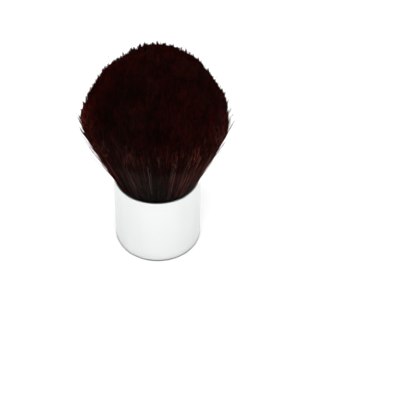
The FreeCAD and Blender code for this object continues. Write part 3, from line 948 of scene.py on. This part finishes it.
class BristleTree(GrowthTree):
    """Tree that grows hairs whose tips lie on a sheet.

    The sheet's points carry vectors for where their hair passes the root, the mouth, the swell and the
    bulge, and for how it bows. They also carry how far the dome rises there and the hair's share of the
    tuft's radius.
    """

    # The first points of a hair are set by the sheet, each a step up its reach. From the bulge on they go
    # evenly to the tip.
    FIXED_POINTS = ("root", "mouth", "swell")
    FIXED_STEP = 0.08
    # From this share of the radius outwards, a hair's tip gets less painted shade, so the rim of the dome,
    # seen side on, reads lighter and redder as painted rim light: its reach ends lower.
    PALE_FROM = 0.68
    PALE_REACH = 0.76
    # Below the bulge a hair is pressed thinner, and near its end it tapers.
    ROOT_THICKNESS = 0.6
    TAPER_FROM = 0.6
    # How fast the drift of the tip fades towards the root.
    DRIFT_FADE = 2.2
    # The strand's pull is the sine of an angle that starts and turns so, and is strongest half way up.
    PULL_START = 0.5
    PULL_TURN = 1.9
    # Most clumps end level, and the greater this power, the fewer stand proud of the dome.
    STEP_POWER = 6.0
    # The chart has a column for each tone, as wide as a few of its pixels.
    CHART_WIDTH = 0.98
    COLUMN_STEP = 0.006
    HAIR_SIDES = 3

    def __init__(self, material: Material) -> None:
        """Build the tree.

        Args:
            material: Material of the hairs.
        """
        super().__init__("bristles", material, {**COMBED.values(), "Seed": 0, "Points": 0})
        self.passed = {
            label: self.add(CARRIED, {"Name": label}, data_type="FLOAT_VECTOR")
            for label in (*self.FIXED_POINTS, "bulge", "bow")
        }
        self.tip = self.add("GeometryNodeInputPosition")
        self.clump = self.add(CELLS, {"Vector": self.tip, "Scale": self.inputs["Clump Scale"]})
        self.kept = self.sow()
        points = self.inputs["Points"]
        copies = self.add(COPIES, {"Geometry": self.kept, "Amount": points}, domain="POINT")
        # Which point of its hair a point is, and its share of the way from the bulge to the tip.
        self.count = copies.outputs["Duplicate Index"]
        last = self.add(NUMBER, {0: points, 1: 1.0}, operation="SUBTRACT")
        span = {"From Min": len(self.FIXED_POINTS), "From Max": last}
        self.climbed = self.add(RANGE, {"Value": self.count, **span})
        self.close(self.thicken(self.string_points(copies)))

    def shifted(self, start: Node, shifts: list[tuple[Any, Any]]) -> Node:
        """Shift a vector by several others.

        Args:
            start: Node that gives the vector.
            shifts: Way of each shift and how far it goes.

        Returns:
            Node that gives the sum.
        """
        for way, length in shifts:
            shift = self.add(VECTOR, {0: way, "Scale": length}, operation="SCALE")
            start = self.add(VECTOR, {0: start, 1: shift}, operation="ADD")
        return start

    def tip_drift(self) -> Node:
        """Add up how far a tip drifts from its combed place.

        Returns:
            Node that gives the drift as a vector.
        """
        given = self.inputs
        clump = self.clump.outputs
        to_clump = self.add(VECTOR, {0: clump["Position"], 1: self.tip}, operation="SUBTRACT")
        pulled = self.add(VECTOR, {0: to_clump, "Scale": given["Clump Pull"]}, operation="SCALE")
        lobe = self.add(NOISE, {"Vector": self.tip, "Scale": given["Lobe Scale"], "Detail": 1.0})
        lobe = self.add(RANGE, {"Value": lobe, **NOISE_SPAN, "To Min": -1.0})
        proud = self.add("ShaderNodeSeparateXYZ", {"Vector": clump["Color"]}).outputs["Y"]
        step = self.add(NUMBER, {0: proud, 1: self.STEP_POWER}, operation="POWER")
        chance = self.add(CHANCE, {"Min": -1.0, "Max": 1.0, "Seed": given["Seed"]})
        trimmed = self.add(CARRIED, {"Name": "rise"})
        longer = self.add(NUMBER, {0: trimmed, 1: given["Longer"]}, operation="ADD")
        for rise, height in ((lobe, "Lobe Height"), (step, "Clump Step"), (chance, "Uneven")):
            longer = self.add(NUMBER, {0: rise, 1: given[height], 2: longer}, operation="MULTIPLY_ADD")
        length = self.add(VECTOR, {0: self.tip, 1: self.passed["bulge"]}, operation="SUBTRACT")
        along = self.add(VECTOR, {0: length}, operation="NORMALIZE")
        around = {"Min": (-1, -1, -1), "Max": (1, 1, 1), "Seed": given["Seed"]}
        aside = self.add(CHANCE, around, data_type="FLOAT_VECTOR")
        return self.shifted(pulled, [(along, longer), (aside, given["Splay"])])

    def hair_tone(self, strand: Node) -> Node:
        """Mix a hair's tone from its strand's, its own, and its patch of the dome's.

        Args:
            strand: Node that gives the strand's colour.

        Returns:
            Node that gives the tone, from 0, darkest, to 1.
        """
        given = self.inputs
        tones = [
            self.add("ShaderNodeSeparateXYZ", {"Vector": cells.outputs["Color"]}).outputs["X"]
            for cells in (strand, self.clump)
        ]
        shared = self.add(BLEND, {"Factor": given["Clump Tone"], "A": tones[0], "B": tones[1]})
        own = self.add(CHANCE, {"Seed": given["Seed"]})
        mixed = self.add(BLEND, {"Factor": given["Shared Tone"], "A": own, "B": shared})
        patch = self.add(NOISE, {"Vector": self.tip, "Scale": given["Patch Scale"], "Detail": 2.0})
        patch = self.add(RANGE, {"Value": patch, **NOISE_SPAN})
        return self.add(BLEND, {"Factor": given["Patch Tone"], "A": mixed, "B": patch})

    def sow(self) -> Node:
        """Sow the tips on the sheet, and keep for each hair what its points share.

        Returns:
            Node that gives the tips and what is kept.
        """
        given = self.inputs
        sown = self.add(
            "GeometryNodeDistributePointsOnFaces",
            {"Mesh": given["Geometry"], "Density": given["Hairs Per Square"], "Seed": given["Seed"]},
        )
        mouth = self.passed["mouth"]
        strands = {"Vector": mouth, "Scale": given["Strand Scale"]}
        strand = self.add(CELLS, strands, voronoi_dimensions="2D")
        to_strand = self.add(VECTOR, {0: strand.outputs["Position"], 1: mouth}, operation="SUBTRACT")
        level = self.add(VECTOR, {0: to_strand, 1: LEVEL}, operation="MULTIPLY")
        gather = self.add(VECTOR, {0: level, "Scale": given["Strand Pull"]}, operation="SCALE")
        share = self.add(CARRIED, {"Name": "share"})
        # Outer hairs end at a lower reach, so less painted tip shade lies on the rim of the dome.
        pale = {"From Min": self.PALE_FROM, "To Min": 1.0, "To Max": self.PALE_REACH}
        shared = {
            "Drift": ("VECTOR", self.tip_drift()),
            "Gather": ("VECTOR", gather),
            "Tone": ("FLOAT", self.hair_tone(strand)),
            "End": ("FLOAT", self.add(RANGE, {"Value": share, **pale})),
            "Hair": ("INT", self.add("GeometryNodeInputIndex")),
        }
        kept = self.add(CAPTURE, {"Geometry": sown})
        for label, (kind, source) in shared.items():
            kept.capture_items.new(kind, label)
            join(self.tree, source, kept.inputs[label])
        return kept

    def string_points(self, copies: Node) -> Node:
        """Put every point of a hair in its place, and string them.

        Args:
            copies: Node that gives each tip once for each point of its hair.

        Returns:
            Node that gives the hairs as curves.
        """
        given = self.inputs
        kept = self.kept.outputs
        ends = {"A": self.passed["bulge"], "B": self.tip}
        combed = self.add(BLEND, {"Factor": self.climbed, **ends}, data_type="VECTOR")
        angle = {0: self.climbed, 1: self.PULL_TURN, 2: self.PULL_START}
        turn = self.add(NUMBER, angle, operation="MULTIPLY_ADD")
        pull = self.add(NUMBER, {0: turn}, operation="SINE")
        half_turn = self.add(NUMBER, {0: self.climbed, 1: math.pi}, operation="MULTIPLY")
        arch = self.add(NUMBER, {0: half_turn}, operation="SINE")
        drift = self.add(NUMBER, {0: self.climbed, 1: self.DRIFT_FADE}, operation="POWER")
        waves = self.add(NOISE, {"Vector": combed, "Scale": given["Wave Scale"], "Detail": 1.0})
        sway = self.add(VECTOR, {0: waves.outputs["Color"], 1: NOISE_MIDDLE}, operation="SUBTRACT")
        wave = self.add(NUMBER, {0: self.climbed, 1: given["Wave"]}, operation="MULTIPLY")
        bowed = self.shifted(combed, [(self.passed["bow"], arch)])
        free = self.shifted(bowed, [(kept["Gather"], pull), (kept["Drift"], drift), (sway, wave)])
        which = self.add(NUMBER, {0: self.count, 1: len(self.FIXED_POINTS)}, operation="MINIMUM")
        place = self.add("GeometryNodeIndexSwitch", {"Index": which}, data_type="VECTOR")
        sources = [*(self.passed[label] for label in self.FIXED_POINTS), free]
        for number, source in enumerate(sources):
            if number >= len(place.index_switch_items):
                place.index_switch_items.new()
            join(self.tree, source, place.inputs[number + 1])
        placed = self.add("GeometryNodeSetPosition", {"Geometry": copies, "Position": place})
        return self.add(
            "GeometryNodePointsToCurves",
            {"Points": placed, "Curve Group ID": kept["Hair"], "Weight": self.count},
        )

    def thicken(self, hairs: Node) -> Node:
        """Give the hairs their thickness, and the tone, reach and chart that their material needs.

        Args:
            hairs: Node that gives the hairs as curves.

        Returns:
            Node that gives the hairs as a mesh.
        """
        given = self.inputs
        kept = self.kept.outputs
        fixed = len(self.FIXED_POINTS)
        press = self.add(RANGE, {"Value": self.count, "From Max": fixed, "To Min": self.ROOT_THICKNESS})
        body = self.add(NUMBER, {0: press, 1: given["Hair Radius"]}, operation="MULTIPLY")
        taper = self.add(RANGE, {"Value": self.climbed, "From Min": self.TAPER_FROM})
        thickness = self.add(BLEND, {"Factor": taper, "A": body, "B": given["Tip Radius"]})
        low = self.add(NUMBER, {0: self.count, 1: self.FIXED_STEP}, operation="MULTIPLY")
        ends = {"To Min": self.FIXED_STEP * fixed, "To Max": kept["End"]}
        high = self.add(RANGE, {"Value": self.climbed, **ends})
        is_free = self.add(NUMBER, {0: self.count, 1: fixed - 1}, operation="GREATER_THAN")
        reach = self.add(BLEND, {"Factor": is_free, "A": low, "B": high})
        for label, source in (("tone", kept["Tone"]), ("reach", reach)):
            hairs = self.add(CARRY, {"Geometry": hairs, "Name": label, "Value": source})
        circle = self.add(CIRCLE, {"Resolution": self.HAIR_SIDES, "Radius": 1.0})
        section = self.add(CAPTURE, {"Geometry": circle})
        section.capture_items.new("FLOAT", "Side")
        join(self.tree, self.add("GeometryNodeInputIndex"), section.inputs["Side"])
        drawn = {"Curve": hairs, "Profile Curve": section, "Scale": thickness, "Fill Caps": True}
        tubes = self.add(TUBES, drawn)
        tone = self.add(CARRIED, {"Name": "tone"})
        column = self.add(NUMBER, {0: tone, 1: self.CHART_WIDTH}, operation="MULTIPLY")
        side = section.outputs["Side"]
        across = self.add(NUMBER, {0: side, 1: self.COLUMN_STEP, 2: column}, operation="MULTIPLY_ADD")
        up = self.add(CARRIED, {"Name": "reach"})
        chart = self.add("ShaderNodeCombineXYZ", {"X": across, "Y": up})
        stored = {"Geometry": tubes, "Name": "OFBake", "Value": chart}
        return self.add(CARRY, stored, data_type="FLOAT2", domain="CORNER")


@dataclass(frozen=True)
class Lobe:
    """Part of the dome that the shears left high or cut low."""

    middle: tuple[float, float, float]
    radius: float
    rise: float

    def rise_at(self, place: Vector) -> float:
        """Find how far the lobe rises at a place: its rise falls off evenly to its rim."""
        gone = min((place - Vector(self.middle)).length / self.radius, 1.0)
        return self.rise * (1 - gone * gone * (3 - 2 * gone))


@dataclass(frozen=True)
class Strays:
    """Hairs that stray from the tuft: shares of its radius and angles between which they end."""

    name: str
    shares: tuple[float, float]
    angles: tuple[float, float]
    combing: Combing


@dataclass
class Tuft:
    """Hair that bulges over the lip, flares to a shoulder and is trimmed to a dome.

    A hair goes from the resin through the cup's mouth and the bulge above it, then on to its tip on the
    dome. The outer hairs bow over the shoulder, so they start at a greater share of the tuft's radius than
    they end at.
    """

    bound_radius: float = 12.0
    mouth_radius: float = 12.9
    swell_radius: float = 14.4
    swell_height: float = 29.8
    bulge_radius: float = 15.8
    bulge_height: float = 32.5
    shoulder_height: float = 54.5
    crown_sink: float = 8.0
    turn_in: float = 0.6
    bow: float = 18.0
    bow_power: float = 4.0
    # Seen from the front, the dome is cut low at the upper left and the right, and stands proud at the
    # left shoulder.
    lobes: tuple[Lobe, ...] = (
        Lobe((-10.5, 14.3, 70.2), 9.0, -2.6),
        Lobe((-21.4, 8.2, 60.0), 6.5, -1.7),
        Lobe((18.1, 10.9, 64.5), 9.0, -1.9),
        Lobe((24.4, 0.5, 55.0), 9.0, -1.8),
        Lobe((-24.2, -2.0, 53.5), 8.0, 1.5),
    )
    sheet_rings: int = 8
    degrees_per_step: float = 3.0
    strays: tuple[Strays, ...] = (
        Strays("uncombed_hairs", (1.0, 1.1), (0.0, 360.0), UNCOMBED),
        Strays("untrimmed_hairs", (0.1, 0.99), (0.0, 360.0), UNTRIMMED),
        Strays("left_shoulder_hairs", (0.97, 1.03), (186.0, 204.0), MISSED),
        Strays("right_shoulder_hairs", (0.97, 1.03), (350.0, 380.0), MISSED),
    )

    def __post_init__(self) -> None:
        """Take the heights and the width that the solids give, and make what all pieces share."""
        self.root_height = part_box("root_resin")[1].z / MM
        self.mouth_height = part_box("hair_cup")[1].z / MM
        self.crown_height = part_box("hair_core")[1].z / MM
        self.head_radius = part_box("hair_outer_locks")[1].x / MM
        self.tree = BristleTree(DyedHair().make())
        self.seed = 0

    def tip(self, share: float) -> tuple[float, float]:
        """Find where a hair meets the dome.

        Args:
            share: The hair's share of the tuft's radius.

        Returns:
            Radius and height of its tip in millimetres.
        """
        centre = self.shoulder_height - self.crown_sink
        rise = self.crown_height - centre
        width = self.head_radius / math.sqrt(1 - (self.crown_sink / rise) ** 2)
        flare = (self.head_radius - self.bulge_radius) / (self.shoulder_height - self.bulge_height)
        at_centre = self.bulge_radius + flare * (centre - self.bulge_height)
        lean = math.atan2(share * flare * rise, width)
        turn = lean + math.asin(share * at_centre / math.hypot(width, share * flare * rise))
        return width * math.sin(turn), centre + rise * math.cos(turn)

    def tip_sheet(self, name: str, shares: tuple[float, float], start: float, span: float) -> Mesh:
        """Make the part of the dome on which a piece's tips lie.

        Args:
            name: Name of the sheet.
            shares: Least and greatest share of the tuft's radius.
            start: Angle round the axis at which the sheet starts, in radians.
            span: Angle that it covers.

        Returns:
            Mesh whose points carry what the bristle tree reads.
        """
        inner, outer = shares
        steps = math.ceil(math.degrees(span) / self.degrees_per_step)
        passed = {
            "root": (self.bound_radius, self.root_height),
            "mouth": (self.mouth_radius, self.mouth_height),
            "swell": (self.swell_radius, self.swell_height),
            "bulge": (self.bulge_radius, self.bulge_height),
        }
        tips = []
        numbers = {"share": [], "rise": []}
        vectors = {label: [] for label in (*passed, "bow")}
        for ring in range(self.sheet_rings + 1):
            share = inner + (outer - inner) * ring / self.sheet_rings
            radius, height = self.tip(share)
            foot_share = min(share + self.turn_in * share * (1 - share), 1.0)
            bow = self.bow * share ** self.bow_power * max(1 - share, 0.0)
            for step in range(steps + 1):
                angle = start + span * step / steps
                outward = Vector((math.cos(angle), math.sin(angle), 0))
                tip = outward * radius + Vector((0, 0, height))
                tips.append(tip * MM)
                numbers["share"].append(share)
                numbers["rise"].append(sum(lobe.rise_at(tip) for lobe in self.lobes) * MM)
                vectors["bow"].extend(outward * bow * MM)
                for label, (envelope, level) in passed.items():
                    way_point = outward * foot_share * envelope + Vector((0, 0, level))
                    vectors[label].extend(way_point * MM)
        row = steps + 1
        corners = [ring * row + step for ring in range(self.sheet_rings) for step in range(steps)]
        faces = [(corner, corner + row, corner + row + 1, corner + 1) for corner in corners]
        mesh = bpy.data.meshes.new(name)
        mesh.from_pydata(tips, [], faces)
        for label, values in numbers.items():
            mesh.attributes.new(label, "FLOAT", "POINT").data.foreach_set("value", values)
        for label, values in vectors.items():
            mesh.attributes.new(label, "FLOAT_VECTOR", "POINT").data.foreach_set("vector", values)
        return mesh

    def grow(self, name: str, layer: HairLayer, sheet: Mesh, combing: Combing) -> Piece:
        """Grow one piece of hair.

        Args:
            name: Name of the piece.
            layer: Layer that it belongs to.
            sheet: Where its tips lie.
            combing: How its hairs lie.

        Returns:
            The piece, which rides on the brush and stands for the layer's node.
        """
        self.seed += 1
        values = {**combing.values(), "Points": layer.points, "Seed": self.seed}
        hair = self.tree.grow(name, sheet, values, keep=("tone", "reach", "OFBake"))
        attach(hair, BODY)
        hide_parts(layer.node)
        return hair

    def build(self) -> list[Piece]:
        """Grow every layer of the tuft, and the few hairs that stray from it.

        Returns:
            The pieces of hair.
        """
        pieces = []
        for layer in HairLayer:
            combing = FLARED if layer is HairLayer.OUTER else COMBED
            span = FULL_TURN / layer.sectors
            for sector in range(layer.sectors):
                name = f"{layer.node}_hairs_{sector + 1}"
                sheet = self.tip_sheet(f"{name}_tips", layer.shares, span * sector, span)
                pieces.append(self.grow(name, layer, sheet, combing))
        for stray in self.strays:
            start, end = map(math.radians, stray.angles)
            sheet = self.tip_sheet(f"{stray.name}_tips", stray.shares, start, end - start)
            pieces.append(self.grow(stray.name, HairLayer.OUTER, sheet, stray.combing))
        return pieces


def main() -> None:
    """Build the studio and the brush, and report each piece."""
    logging.basicConfig(level=logging.INFO, format="%(message)s")
    Studio().build()
    for assembly in (Handle(), Weight(), Binding(), Tuft()):
        for piece in assembly.build():
            LOG.info("%s: %s, %d faces", type(assembly).__name__, piece.name, len(piece.data.polygons))


if __name__ == "__main__":
    main()
